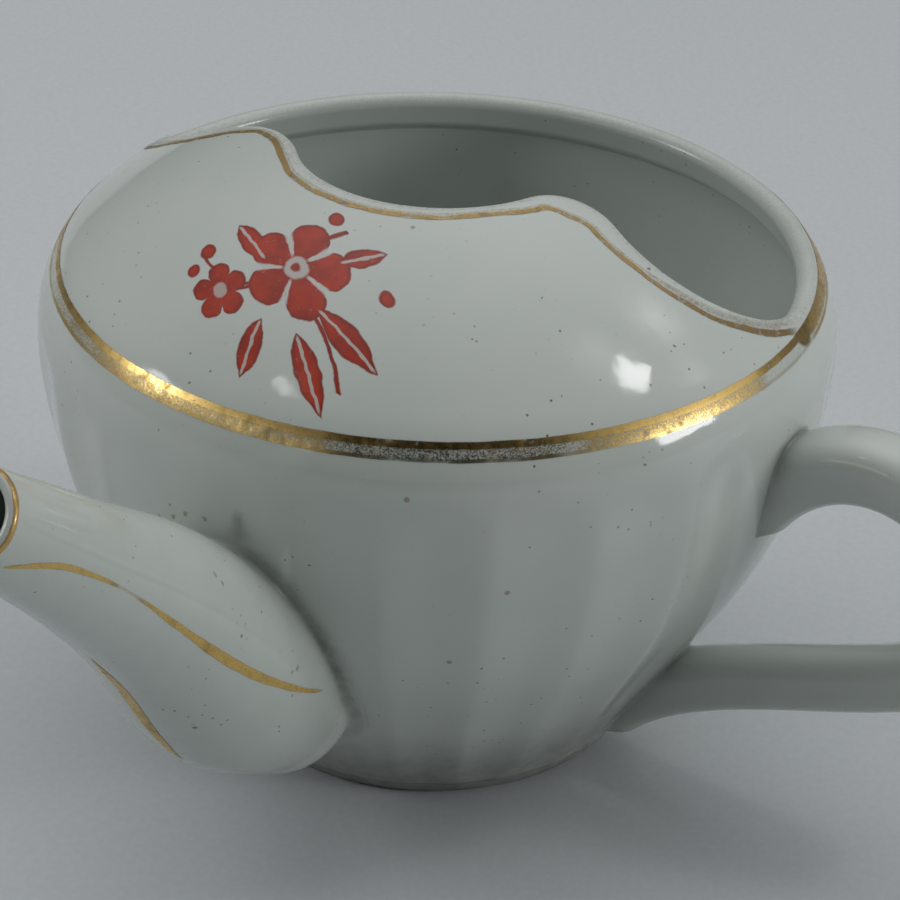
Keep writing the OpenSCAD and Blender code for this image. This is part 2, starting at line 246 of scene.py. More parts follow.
def new_finish(name):
    """A new material, and the place on the cup in millimetres that its patterns read."""
    mat = bpy.data.materials.new(name)
    mat.use_nodes = True
    start = Shade(mat.node_tree)
    where = start.node("ShaderNodeVectorMath", {"operation": "SCALE"},
                       {0: start.node("ShaderNodeTexCoord", out="Object"), "Scale": 1 / MM})
    return mat, where


def feed(mat, sockets):
    surface = mat.node_tree.nodes["Principled BSDF"]
    for name, value in sockets.items():
        mat.node_tree.links.new(value.socket, surface.inputs[name])
    return surface


def srgb(*levels):
    return (*((c / 255 + 0.055) ** 2.4 / 1.055 ** 2.4 if c > 10 else c / 3295 for c in levels), 1)


white, cloud = srgb(200, 206, 201), srgb(193, 200, 193)
dust_grey, pinhole, rust_spot = srgb(98, 97, 86), srgb(80, 76, 66), srgb(128, 92, 62)
grime_and_shade_grey, wear_brown = srgb(80, 80, 68), srgb(116, 106, 90)
speck, rust, smear = srgb(66, 62, 54), srgb(112, 58, 40), srgb(140, 142, 132)
olive, moss = srgb(140, 138, 98), srgb(112, 120, 88)
glaze_ior, glaze_gloss = 1.5, 0.07


def glaze(name, paint=None, marks=()):
    """Clear feldspar glaze over greenish white porcelain: faint clouds, pinhole dust, a few rust
    spots, and a dulled, stained edge where worn says so. Where the points' darkening attribute
    is set it turns darker grey: partly grime, partly painted shade in creases, under ledges and
    low by the table. marks are single stains, each with its place, size and colour, and paint adds
    what lies on the glaze."""
    mat, where = new_finish(name)
    colour = where.noise(0.035, 3).step(0.3, 0.7).blend(white, cloud)
    dusty = where.noise(0.055).step(0.45, 0.7)
    dust = where.spots(apart=1.5, size=0.42, share=0.5) * (dusty * 0.85 + 0.06)
    colour = dust.blend(colour, dust_grey)
    colour = (where.spots(apart=3.2, size=0.34, share=0.35) * 0.65).blend(colour, pinhole)
    colour = (where.spots(apart=8, size=0.9, share=0.3) * 0.6).blend(colour, rust_spot)
    grime_and_shade = where.layer("grime_and_shade") * (where.noise(0.35, 3, 0.6).step(0.3, 0.75) * 0.3 + 0.7)
    colour = grime_and_shade.blend(colour, grime_and_shade_grey)
    worn = where.layer("worn")
    fine = where.noise(2.6, 4, 0.75).step(0.42, 0.62)
    broad = where.noise(0.3, 3).step(0.3, 0.7)
    colour = (worn * (fine * 0.75 + broad * 0.25)).blend(colour, wear_brown)
    for place, size, stain in marks:
        ragged = where.off(place) + (where.noise(2.2, 4, 0.7) - 0.5) * size * 1.6
        colour = (ragged.step(size * 0.55, size * 0.15) * 0.8).blend(colour, stain)
    streaks = where.noise(0.12, 3).step(0.3, 0.8) * 0.04
    gloss = streaks + glaze_gloss + grime_and_shade * 0.2 + dust * 0.2 + worn * 1.2
    if paint:
        colour, gloss = paint(where, colour, gloss)
    ripple = where.node("ShaderNodeBump", {}, {"Strength": 0.5, "Distance": 0.1 * MM,
                                               "Height": where.noise(0.22)})
    surface = feed(mat, {"Base Color": colour, "Roughness": gloss, "Normal": ripple})
    surface.inputs["IOR"].default_value = glaze_ior
    return mat


bowl.data.materials.clear()
bowl.data.materials.append(glaze("glazed_porcelain", marks=[
    ((-50.5, -8.5, 48.5), 0.4, speck), ((-50.4, -9.5, 49.3), 0.35, speck),
    ((-49.9, -11.5, 48.5), 0.4, speck), ((-50.9, 7.8, 51.2), 0.5, speck),
    ((-51.2, 5.4, 50.9), 0.9, olive), ((-50.2, 9.8, 48.5), 0.9, olive),
    ((-50.8, 7.4, 49.6), 0.9, olive), ((-51.5, 2.4, 51.2), 0.8, olive),
    ((-65.3, -8.2, 54.2), 1, smear), ((-64.5, -8.6, 52.8), 0.8, smear),
    ((-63.5, -10.6, 45.6), 0.6, moss), ((-53.4, -12.2, 36), 0.9, smear),
    ((-54.6, -12.2, 36.1), 0.7, smear), ((-66.5, -6, 32.6), 0.8, rust),
    ((-67.9, -6, 34.9), 0.45, rust), ((-69.4, -5, 36.3), 0.4, speck),
    ((-26.3, -43.9, 61.1), 0.5, speck), ((-69.6, -5.1, 60.7), 0.4, speck)]))

# Foot ring: the turned foot that the cup stands on. The glaze runs down its outer side; the
# bottom was wiped clean before firing, so the buff biscuit body shows there.
foot_wide = 4.5
foot_in = foot_r - foot_wide
foot_grime_and_shade = 0.75
clay_dark, clay_pale = srgb(172, 164, 148), srgb(196, 190, 176)
grit_brown, glaze_edge = srgb(110, 102, 88), srgb(128, 108, 78)
bm = turned([
    (foot_in - 0.2, foot_h), (foot_in, 1.3), (foot_in + 0.35, 0.45), (foot_in + 1, 0.08),
    (foot_in + 1.5, 0), (foot_r - 0.9, 0), (foot_r - 0.35, 0.1), (foot_r + 0.1, 0.4),
    (foot_r + 0.45, 0.9), (wall_at(1.6), 1.6), (wall_at(foot_h), foot_h)], steps=180, closed=True)
foot = piece(bm, "foot_biscuit", "biscuit", "foot_ring")
# The foot's outer side is darkened: painted contact shadow by the table, with some dirt.
darkening_values = foot.data.attributes.new("grime_and_shade", "FLOAT", "POINT")
for v in foot.data.vertices:
    darkening_values.data[v.index].value = foot_grime_and_shade if hypot(v.co.x, v.co.y) > (foot_r - 1) * MM else 0


def wiped_foot(where, colour, gloss):
    bare = (where.axis(2) + where.noise(0.25, 3) * 0.8).step(0.6, 0.45)
    clay = where.noise(1.6, 5, 0.7).step(0.3, 0.7).blend(clay_dark, clay_pale)
    grit = where.noise(0.3, 4, 0.7).step(0.55, 0.75)
    clay = (grit * 0.6).blend(clay, grit_brown)
    edge = bare * (1 - bare)
    return edge.blend(bare.blend(colour, clay), glaze_edge), gloss + bare * 0.5


foot.data.materials.append(glaze("biscuit", wiped_foot))

# Half cover: a domed lid over the spout's half of the bowl, pressed apart and luted on with slip.
# Its bow-shaped edge is rounded; round the open half its ring runs on as the drinking rim.
dome_r, cover_t, rim_z = 72, 3, 66
edge_r = cover_t / 2
dome_z = belly_z - sqrt((dome_r - shoulder_r) ** 2 - shoulder_c ** 2)
dome_share = shoulder_c / (dome_r - shoulder_r)
ring_wide, ring_z, slip_z = 4.5, seam_z + 0.8, seam_z - 1.6
ring_in = wall_at(seam_z) - ring_wide
dip_r, dip_c = 18.7, Vector((-0.4, 0))
fan_c = Vector((20, 0))
dome_rows, lip_rows, under_rows, slip_rows, rim_points = 28, 14, 12, 8, 160
dome_from, dome_fade = 0.5, 4
bow_wear, rim_wear, slip_grime_and_shade = 0.4, 0.2, 0.3


def cover_at(r, lift=0):
    """Height of dome and shoulder at radius r, lift outside the glaze."""
    if r < dome_share * (dome_r + lift):
        return dome_z + sqrt((dome_r + lift) ** 2 - r * r)
    return belly_z + sqrt(max(0, (shoulder_r + lift) ** 2 - (r - shoulder_c) ** 2))


def on_cover(p, lift=0):
    return Vector((p.x, p.y, cover_at(p.length, lift)))


def cover_out(p):
    """The way out of the glaze above a point in plan."""
    r, z = p.length, cover_at(p.length)
    domed = r < dome_share * dome_r
    up = Vector((r, z - dome_z)) if domed else Vector((r - shoulder_c, z - belly_z))
    up.normalize()
    return Vector((p.x / r * up.x, p.y / r * up.x, up.y))


def arc(c, r, a0, a1, steps):
    return [c + r * Vector((cos(a), sin(a))) for a in evenly(a0, a1, steps)]


def heading(a, b):
    return atan2(b.y - a.y, b.x - a.x)


def half_bow(grow, horn_r, horn_side, scallop_r):
    """One side of the bow edge in plan: from the rim round scallop and horn into the dip."""
    horn_c = Vector((dip_c.x - sqrt((dip_r + horn_r) ** 2 - horn_side ** 2), horn_side))
    far = wall_at(rim_z) - edge_r - scallop_r
    along = (far ** 2 - (horn_r + scallop_r) ** 2 + horn_c.length_squared) / (2 * horn_c.length)
    scallop_c = (horn_c.normalized() * along
                 + Vector((horn_c.y, -horn_c.x)).normalized() * sqrt(far ** 2 - along ** 2))
    start, end = atan2(scallop_c.y, scallop_c.x), 2 * pi + heading(scallop_c, horn_c)
    scallop = arc(scallop_c, scallop_r + grow, start, end, 40)
    horn = arc(horn_c, horn_r - grow, heading(horn_c, scallop_c), heading(horn_c, dip_c), 26)
    dip = arc(dip_c, dip_r + grow, heading(dip_c, horn_c), pi, 28)
    return scallop + horn[1:] + dip[1:]


def bow(grow):
    """The bow edge, grow outside it, from the +Y end. Cut by hand, its far horn is the rounder."""
    far = half_bow(grow, horn_r=18.4, horn_side=28.5, scallop_r=14.9)
    near = half_bow(grow, horn_r=8.4, horn_side=24.5, scallop_r=13)
    return far + [Vector((p.x, -p.y)) for p in near[-2::-1]]


def mouth_in(points, k):
    """The way into the mouth, along the cover, at a point of its edge."""
    ahead, behind = points[(k + 1) % len(points)], points[k - 1]
    return cover_out(points[k]).cross(on_cover(ahead) - on_cover(behind)).normalized()


def skin(rows):
    """A sheet of faces through rows of points. Rows or ends that meet are merged later."""
    bm = bmesh.new()
    grid = bmesh.ops.create_grid(bm, x_segments=len(rows[0]) - 1, y_segments=len(rows) - 1, size=1)
    for vert, point in zip(grid["verts"], (p for row in rows for p in row)):
        vert.co = point
    return bm


def layers(bm, *names):
    return [bm.verts.layers.float.new(name) for name in names]


mouth = bow(edge_r)
bow_points = len(mouth)
centre = Vector((0, 0))
rim = arc(centre, mouth[-1].length, heading(centre, mouth[-1]), heading(centre, mouth[0]),
          rim_points)
mouth += rim[1:-1]
seam = []
for p in mouth:
    ray = (p - fan_c).normalized()
    along = fan_c.dot(ray)
    reach = sqrt(along ** 2 + wall_at(seam_z) ** 2 - fan_c.length_squared)
    seam.append(fan_c + ray * (reach - along))
rows = [[on_cover(s.lerp(p, w ** 2)) for s, p in zip(seam, mouth)] for w in evenly(0, 1, dome_rows)]
under = []
for k, (s, plan) in enumerate(zip(seam, mouth)):
    p, n, i = on_cover(plan), cover_out(plan), mouth_in(mouth, k)
    domed = ease((ring_in - (p - cover_t * n).xy.length - dome_from) / dome_fade)
    sweep = pi - atan2(i.xy.length, n.xy.length) * (1 - domed)
    column = [p + edge_r * (n * (cos(a) - 1) + i * sin(a)) for a in evenly(0, sweep, lip_rows)[1:]]
    low, seat = column[-1], s.normalized() * ring_in
    for w in evenly(0, 1, under_rows)[1:]:
        q = low.xy.lerp(seat, w)
        straight = low.z + (ring_z - low.z) * w
        z = straight + (cover_at(q.length, -cover_t) - straight) * domed
        column.append(Vector((q.x, q.y, z)))
    for w in evenly(0, 1, slip_rows)[1:]:
        q = seat.normalized() * (ring_in + (wall_at(slip_z) - wall_t - ring_in) * ease(w))
        column.append(Vector((q.x, q.y, ring_z + (slip_z - ring_z) * w)))
    under.append(column)
rows += map(list, zip(*under))
rows.append(rows[0])
bm = skin([row + row[:1] for row in rows])
grime_and_shade, worn, outside = layers(bm, "grime_and_shade", "worn", "outside")
lip_end, last_row = dome_rows + lip_rows, len(rows) - 1
for k, v in enumerate(bm.verts):
    row, column = divmod(k, len(mouth) + 1)
    on_lip = ease((row - dome_rows + 0.5) / 1.5) * ease((lip_end - 1 - row) / 4)
    v[worn] = (bow_wear if column < bow_points else rim_wear) * on_lip
    # Painted shade, with some grime, darkens the slip below the ring where it meets the bowl.
    v[grime_and_shade] = slip_grime_and_shade * ease((row - lip_end - under_rows + 1) / 4) * ease((last_row - row) / 3)
    v[outside] = row <= dome_rows or row == last_row
cover = piece(bm, "half_cover_porcelain", "glazed_porcelain", "half_cover")

iron_red, pale_red, rim_red = srgb(150, 34, 0), srgb(176, 46, 4), srgb(108, 26, 8)
sprig_place, sprig_turn, sprig_size = (-36, 2, 75.6), (0, -radians(31), -pi / 2), 0.86
blossom, small_blossom = ((1.5, 4.2), 12, 7.4), ((-8.4, -1.2), 40, 4.2)
leaves = [((9.8, -2.6), -28, 9.5, 4), ((5.6, -8.2), -62, 9, 3.6), ((-2.4, -7.6), 78, 8, 3.2),
          ((-6, 6.8), 140, 8, 3.4), ((9.4, 8.6), 38, 7, 2.8)]
berries = [((-12.2, 4.4), 1.3), ((-13.4, 1.2), 1), ((4.4, 13.4), 1.2), ((13.6, 4.6), 1.1)]
stems = [((16, -1), 16, 0.7, 2.2, 3.1), ((-1, -10), 10.5, 0.6, 0.1, 2.6),
         ((-4, 14), 13.6, 0.5, -2.3, -1.2)]


def sprig(where, colour, gloss):
    """A flower sprig in iron-red enamel, painted freehand on the dome above the spout."""
    laid = where.node("ShaderNodeMapping", {"vector_type": "TEXTURE"},
                      {"Vector": where, "Location": sprig_place, "Rotation": sprig_turn,
                       "Scale": (sprig_size,) * 3})
    u, v = laid.axis(0) + where.sway(0.5, 0.8), laid.axis(1) + where.sway(0.45, 0.8)

    def local(at, turn=0):
        x, y = u - at[0], v - at[1]
        c, s = cos(radians(turn)), sin(radians(turn))
        return x * c + y * s, y * c - x * s

    def reach(x, y):
        return (x * x + y * y) ** 0.5

    def leaf(at, turn, length, width):
        x, y = local(at, turn)
        belly = (1 - (x * (2 / length)) ** 2) * (width / 2)
        return belly - abs(y), abs(y)

    def flower(at, turn, size):
        x, y = local(at, turn)
        far, angle = reach(x, y), where.math("ARCTAN2", y, x)
        petal = abs(where.math("COSINE", angle * 2.5))
        return petal ** 0.45 * (0.52 * size) + 0.48 * size - far, far, petal

    def stem(centre, radius, width, low, high):
        x, y = u - centre[0], v - centre[1]
        far, angle = reach(x, y), where.math("ARCTAN2", y, x)
        held = angle.within(low - 0.01, low + 0.01, high - 0.01, high + 0.01)
        return (width / 2 - abs(far - radius)) * held - (1 - held)

    bloom, far, petal = flower(*blossom)
    small, small_far, _ = flower(*small_blossom)
    gap = petal.step(0.34, 0.16) * far.step(1.6, 2.4) * bloom.step(-0.2, 0.2)
    eye, small_eye = far.within(0.5, 0.9, 1.5, 1.9), small_far.step(1.2, 0.9)
    solid, vein = bloom.most(small), 0
    for shape in leaves:
        body, rib = leaf(*shape)
        solid = solid.most(body)
        vein = (rib.step(0.28, 0.14) * body.step(0.1, 0.5)).most(vein)
    for at, size in berries:
        solid = solid.most(size - reach(*local(at)))
    for shape in stems:
        solid = solid.most(stem(*shape))
    left = (1 - gap * 0.9) * (1 - eye * 0.75) * (1 - small_eye * 0.6) * (1 - vein * 0.75)
    worn = where.noise(1.4, 5, 0.7).step(0.28, 0.4) * 0.2 + 0.8
    amount = solid.step(-0.12, 0.14) * left * worn * where.layer("outside")
    red = where.noise(0.28, 3).step(0.35, 0.65).blend(iron_red, pale_red)
    red = (solid.step(0.75, 0.1) * 0.6).blend(red, rim_red)
    return amount.blend(colour, red), gloss + amount * 0.12


cover.data.materials.append(glaze("glazed_porcelain_painted", sprig, [
    ((-13.9, -40.9, 70.7), 0.45, speck), ((-7.4, -33.6, 76.3), 0.6, speck),
    ((-6, -34.9, 75.7), 0.6, speck), ((-5.4, -36.6, 74.8), 0.5, speck),
    ((-21.5, -26.5, 76.5), 0.35, speck), ((-31, -33.3, 68.9), 0.4, speck),
    ((-29.7, -34, 69.1), 0.3, speck), ((-23.6, -30.2, 74), 0.4, speck),
    ((-20.5, -41.2, 68.5), 0.4, speck)]))

# Spout: a hollow horn, cast apart and luted over the hole with slip. Its lower end is rounded,
# and the wiped slip leaves a small fillet against the bowl, darkened with grime and painted shade.
# Each point of its middle line has a reach, a height and the horn's radius there.
spout_points = [Vector(p) for p in [(39.9, 20.5, 10.5), (52, 31.3, 12.6), (66.6, 47.9, 10.2),
                                    (82.4, 62.2, 7.7), (101.3, 78.2, 6)]]
spout_wall, lip_wall = 2.6, 1.5
closed_end, clear_of_wall, lip_start = 0.25, 0.6, 0.98
bore_overlap = 1
fillet_rows, nudge, under_glaze, buried = 8, 0.001, 0.02, 0.5


def through(points, k, t):
    """Place and heading on a smooth curve through points, t of the way from point k on."""
    p0, p1, p2, p3 = (points[max(0, min(len(points) - 1, k + d))] for d in (-1, 0, 1, 2))
    sag, twist = p0 * 2 - p1 * 5 + p2 * 4 - p3, p1 * 3 - p0 - p2 * 3 + p3
    at = (p1 * 2 + (p2 - p0) * t + sag * t * t + twist * t ** 3) / 2
    return at, (p2 - p0) + sag * 2 * t + twist * 3 * t * t


def along_spout(u):
    """Middle, heading and radius of the horn at u, from 0 at the root to 1 at the lip."""
    spans = len(spout_points) - 1
    s = max(0, min(1, u)) * spans
    k = min(int(s), spans - 1)
    at, way = through(spout_points, k, s - k)
    return at.xy, way.xy.normalized(), at.z


def round_spout(c, d, r, bearing):
    """Point at a bearing on the ring of radius r about c, square to the heading d."""
    return Vector((-c.x + r * cos(bearing) * d.y, r * sin(bearing), c.y + r * cos(bearing) * d.x))


def spout_skin(bearing, u, inset=0):
    """Point on the horn, or inset inside it. Below 0, u goes round the closed lower end."""
    c, d, r = along_spout(u)
    r -= inset
    if u < 0:
        a = min(1, -u / closed_end) * pi / 2
        c, r = c - d * r * sin(a), r * cos(a)
    return round_spout(c, d, r, bearing)


def bore_skin(bearing, u):
    """Point on the bore, whose wall thins towards the lip."""
    return spout_skin(bearing, u, spout_wall + (lip_wall - spout_wall) * max(0, u))


def wall_gap(p, depth=0):
    return hypot(p.x, p.y) - wall_at(max(0, p.z)) + depth


def wall_out(p, dz=0.05):
    slope = (wall_at(p.z + dz) - wall_at(p.z - dz)) / (2 * dz)
    return Vector((p.x, p.y, -slope * hypot(p.x, p.y))).normalized()


def meets_wall(path, bearing, near, far, depth=0):
    """Where a line along a luted piece, from near in the wall to far outside, leaves the wall."""
    for _ in range(40):
        half = (near + far) / 2
        if wall_gap(path(bearing, half), depth) < 0:
            near = half
        else:
            far = half
    return far


def luted(path, bearings, near, far, sizes):
    """Rows of a slip fillet, from under the glaze of the bowl up onto the luted piece."""
    ends = [meets_wall(path, b, near, far) for b in bearings]
    roots = [path(b, t) for b, t in zip(bearings, ends)]
    middle = sum(roots, Vector()) / len(roots)
    step = nudge if far > near else -nudge
    starts, columns = [], []
    for k, (b, t, root, size) in enumerate(zip(bearings, ends, roots, sizes)):
        out = wall_out(root)
        away = out.cross(roots[(k + 1) % len(roots)] - roots[k - 1]).normalized()
        if away.dot(root - middle) < 0:
            away.negate()
        starts.append(t + step * size / (path(b, t + step) - root).length)
        top, foot = path(b, starts[-1]), root + away * size
        foot -= out * (wall_gap(foot) * sqrt(out.x ** 2 + out.y ** 2) + under_glaze)
        curve = [bent(foot, root, top, w) for w in evenly(0, 1, fillet_rows)]
        columns.append([foot - out * buried, *curve])
    return starts, [list(row) for row in zip(*columns)], roots


tip_c, tip_d, tip_r = along_spout(1)
lip_c, lip_r = tip_c - tip_d * lip_wall / 2, tip_r - lip_wall / 2


def lip_ring(bearings, a, lift=0):
    """Ring round the rounded lip, the angle a from its outer side, lift off the glaze."""
    half = lip_wall / 2 + lift
    c, r = lip_c + tip_d * (half * sin(a) - lift), lip_r + half * cos(a)
    return [round_spout(c, tip_d, r, b) for b in bearings]


bearings = evenly(0, 2 * pi, 96)[:-1]
slip_sizes = [1.8 + 1.7 * ease(0.5 - 0.6 * cos(b)) for b in bearings]
starts, rows, crease = luted(spout_skin, bearings, -closed_end, clear_of_wall, slip_sizes)
horn = [[spout_skin(b, u) for u in evenly(t, lip_start, 48)[1:]] for b, t in zip(bearings, starts)]
rows += map(list, zip(*horn))
rows += [lip_ring(bearings, a) for a in evenly(0, pi, 12)]
bore_starts = [meets_wall(lambda b, u: spout_skin(b, u, spout_wall), b, -closed_end, clear_of_wall,
                          bore_overlap) for b in bearings]
bore = [[bore_skin(b, u) for u in evenly(t, lip_start, 32)] for b, t in zip(bearings, bore_starts)]
rows += map(list, [*zip(*bore)][::-1])
rows.append(rows[0])
bm = skin([row + row[:1] for row in rows])
(grime_and_shade,) = layers(bm, "grime_and_shade")
# The spout is darkened with painted shade and some grime: faintly all over, and most at the root
# crease on its shaded side.
even_spout_shade, root_grime_and_shade, shaded_side_extra, shade_bearing = 0.1, 0.2, 0.6, 5.3
root_row, root_rows = (fillet_rows + 1) / 2, 6
for k, v in enumerate(bm.verts):
    row, column = divmod(k, len(bearings) + 1)
    shade = ease(1 - abs(bearings[column % len(bearings)] - shade_bearing))
    at_root = ease(1 - abs(row - root_row) / root_rows)
    v[grime_and_shade] = max((root_grime_and_shade + shaded_side_extra * shade) * at_root, even_spout_shade)
spout = piece(bm, "spout_porcelain", "glazed_porcelain", "spout")
spout.data.materials.append(bowl.data.materials[0])

# The bowl is darkened in three places: painted contact shadow low by the table, painted shade with
# some grime along the spout's crease, most on its shaded side, and a short darker tail up from the
# crease's top.
low_painted_shade, low_reach, low_skin = 0.55, 15, 1.5
spout_side, near_side, far_crease_grime_and_shade = -25, 2.9, 0.2
crease_grime_and_shade, crease_shade, crease_bearing, crease_spread = 0.35, 0.6, 5.4, 0.9
crease_reach, crease_fall = 4, 1.3
tail_darkening = 0.55
tail = [(Vector((-51.6, -2.5, z)), r) for z, r in ((50.8, 2.4), (52, 1.7), (53.2, 1.3))]
darkening_values = bowl.data.attributes.new("grime_and_shade", "FLOAT", "POINT")
for v in bowl.data.vertices:
    at = v.co / MM
    darkening = 0
    if at.z < foot_h + low_reach and at.xy.length > wall_at(at.z) - low_skin:
        darkening = low_painted_shade * ease(1 - (at.z - foot_h) / low_reach)
    if at.x < spout_side:
        off, b = min(((at - p).length, b) for p, b in zip(crease, bearings))
        shade = ease(1 - abs(b - crease_bearing) / crease_spread)
        by_crease = crease_grime_and_shade + crease_shade * shade if b > near_side else far_crease_grime_and_shade
        in_tail = max(ease(1 - (at - p).length / r) for p, r in tail)
        by_crease *= ease(1 - off / crease_reach) ** crease_fall
        darkening = max(darkening, by_crease, tail_darkening * in_tail)
    darkening_values.data[v.index].value = darkening

# Handle: a loop rolled from porcelain clay, oval in section, bent while soft and luted to the wall
# at right angles to the spout. Its lower end is thumbed out a little where it joins.
top_z, base_z, sunk = 43.5, 7.6, 2.4
handle_points = [Vector(p) for p in [
    (wall_at(top_z) - sunk, top_z), (55.2, 57.4), (74.1, 57.5), (79.1, 40.3), (84.6, 21.3),
    (48, 23.5), (wall_at(base_z) - sunk, base_z)]]
thick_top, thick_base = 9.8, 7.8
wide_top, wide_base = 11.2, 9
side_power, side_trim, flare_power = 2.6, 0.965, 10
top_slip, base_slip, top_clear, base_clear = 0.9, 1.1, 0.3, 0.75
handle_grime_and_shade, darkening_start, darkening_rows = 0.45, 1.4, 9


def along_handle(u):
    """Middle and heading of the loop, from 0 at its upper end to 1 at its lower end."""
    k, t = (0, u * 2) if u < 0.5 else (3, u * 2 - 1)
    p0, p1, p2, p3 = handle_points[k:k + 4]
    s = 1 - t
    at = p0 * s ** 3 + p1 * 3 * s * s * t + p2 * 3 * s * t * t + p3 * t ** 3
    way = (p1 - p0) * s * s + (p2 - p1) * 2 * s * t + (p3 - p2) * t * t
    return at, way.normalized()


def handle_skin(bearing, u):
    """Point on the handle, whose section is an oval with flattened sides."""
    c, d = along_handle(max(0, min(1, u)))
    flare = abs(2 * u - 1) ** flare_power
    thumbed, thumbed_wide = (1, 1) if u > 0.5 else (-0.5, 0)
    flat = (abs(sin(bearing)) ** side_power + abs(cos(bearing)) ** side_power) ** (-1 / side_power)
    flat *= side_trim
    thick = flat * ((thick_top + (thick_base - thick_top) * u) / 2 + flare * thumbed)
    wide = flat * ((wide_top + (wide_base - wide_top) * u) / 2 + flare * thumbed_wide)
    return Vector((wide * sin(bearing), -c.x + thick * cos(bearing) * d.y,
                   c.y + thick * cos(bearing) * d.x))


bearings = evenly(0, 2 * pi, 64)[:-1]
tops, rows, _ = luted(handle_skin, bearings, 0, top_clear, [top_slip] * len(bearings))
bases, base_rows, _ = luted(handle_skin, bearings, 1, base_clear, [base_slip] * len(bearings))
loop = [[handle_skin(b, u) for u in evenly(t, e, 72)[1:-1]]
        for b, t, e in zip(bearings, tops, bases)]
rows += [*map(list, zip(*loop)), *base_rows[::-1]]
bm = skin([row + row[:1] for row in rows])
(grime_and_shade,) = layers(bm, "grime_and_shade")
# Both ends of the handle are darkened where they meet the wall: grime with painted shade.
for k, v in enumerate(bm.verts):
    row = k // (len(bearings) + 1)
    v[grime_and_shade] = handle_grime_and_shade * ease(darkening_start - min(row, len(rows) - 1 - row) / darkening_rows)
bmesh.ops.holes_fill(bm, edges=[e for e in bm.edges if e.is_boundary], sides=0)
handle = piece(bm, "handle_porcelain", "glazed_porcelain", "handle")
handle.data.materials.append(bowl.data.materials[0])

# Shoulder band: burnished gold painted on the glaze over the seam of bowl and cover, with two
# full lines and a paler stroke between them. Handling has rubbed it through in specks and patches.
band_low, band_high = 63.7, 65.95
lift = 0.05
band_gold, dull_gold, brown_gold = srgb(226, 194, 122), srgb(158, 128, 72), srgb(112, 92, 54)
edge_corners = [(6.6, -48.2, 65.8), (10, 47.7, 65.8)]
worn_to_one_line, dark_front_reflection, full_stretch = (-88, 7, 4), (-148, 14, 5), (-113, 14, 5)
dark, full_from, full_fade, full_to, full_end_fade = 0.6, 148, 8, -164, 4


def stretch(bearing, middle, half, fade):
    """1 within half degrees of a bearing, eased to 0 beyond."""
    return ease(1 - (abs(bearing - middle) - half) / fade)


film = [(wall_at(z) + lift * 0.8, z + lift * 0.5) for z in evenly(band_low, band_high, 8)]
bm = turned(film, steps=360)
browned, full, single = layers(bm, "browned", "full", "single")
# The darkening layer makes the gold browner and darker. On the stretch that faces the camera it is
# partly wear and partly a painted dark reflection of the room. Where the band is worn to one line
# it is tarnish.
for v in bm.verts:
    b = degrees(atan2(v.co.y, v.co.x))
    v[single] = stretch(b, *worn_to_one_line)
    v[browned] = max(dark * stretch(b, *dark_front_reflection), dark * v[single])
    v[full] = max(ease((b - full_from) / full_fade), ease((full_to - b) / full_end_fade),
                  stretch(b, *full_stretch))
band = piece(bm, "shoulder_band_gold", "gilding", "gilt_shoulder_band",
             out=lambda p: Vector((p.x, p.y, 20)))


def gilding(name, cover, gold, metal):
    """Burnished gold of a colour, rubbed and dulled. cover gives, from the place in millimetres,
    how much of it is left; metal is how much it mirrors."""
    mat, where = new_finish(name)
    dull = where.noise(0.9, 4, 0.65).step(0.35, 0.7)
    brown = where.noise(0.35, 4, 0.6).step(0.5, 0.72)
    colour = (dull * 0.4).blend(gold, dull_gold)
    # Where the darkening layer is set the gold turns brown: tarnish, and on the band's front also a
    # painted dark reflection.
    colour = (brown * 0.55).most(where.layer("browned")).blend(colour, brown_gold)
    feed(mat, {"Base Color": colour, "Roughness": dull * 0.14 + 0.24 + brown * 0.15,
               "Metallic": (1 - brown * 0.2) * metal, "Alpha": cover(where)})
    return mat


def rubbed_band(where):
    """Two lines with a speckled stroke between them; round the drinking rim it is one full line."""
    height = where.axis(2) + where.sway(0.4, 0.16)
    upper = height.within(65.1, 65.25, 65.84, 65.94)
    lower = height.within(63.75, 63.85, 64.15, 64.25)
    between = height.within(63.85, 64, 65.4, 65.6)
    specks = where.noise(4.5, 3, 0.7).step(0.46, 0.56)
    patches = where.noise(0.07).step(0.36, 0.6)
    faint = where.noise(0.11, 3).step(0.35, 0.65) * 0.5 + 0.3
    browned, full, single = (where.layer(name) for name in ("browned", "full", "single"))
    broken = where.noise(0.8, 5, 0.75).step(0.46, 0.34) * browned
    scuffed = where.noise(1.3, 5, 0.75).step(0.3, 0.42) * 0.5 + 0.5
    lines = upper.most(lower * faint * (1 - single * 0.7)) * scuffed * (1 - broken)
    thin = (specks * 0.75 + 0.12) * (patches * 0.7 + 0.3).most(browned * 1.5) * (1 - full)
    stroke = between * (thin + (specks * 0.65 + 0.3) * full) * (1 - single * 0.8)
    round_rim = abs(where.math("ARCTAN2", where.axis(1), where.axis(0)))
    rim_line = round_rim.within(0.25, 0.9, 1.36, 1.48) * height.step(64.1, 64.8)
    rim_line = rim_line * (where.noise(0.7, 4, 0.7).step(0.25, 0.5) * 0.35 + 0.6)
    left = lines.most(stroke).most(rim_line)
    for corner in edge_corners:
        left = left.most(where.off(corner).step(2.6, 1.7))
    return left


band.data.materials.append(gilding("gilding_band", rubbed_band, band_gold, metal=1))

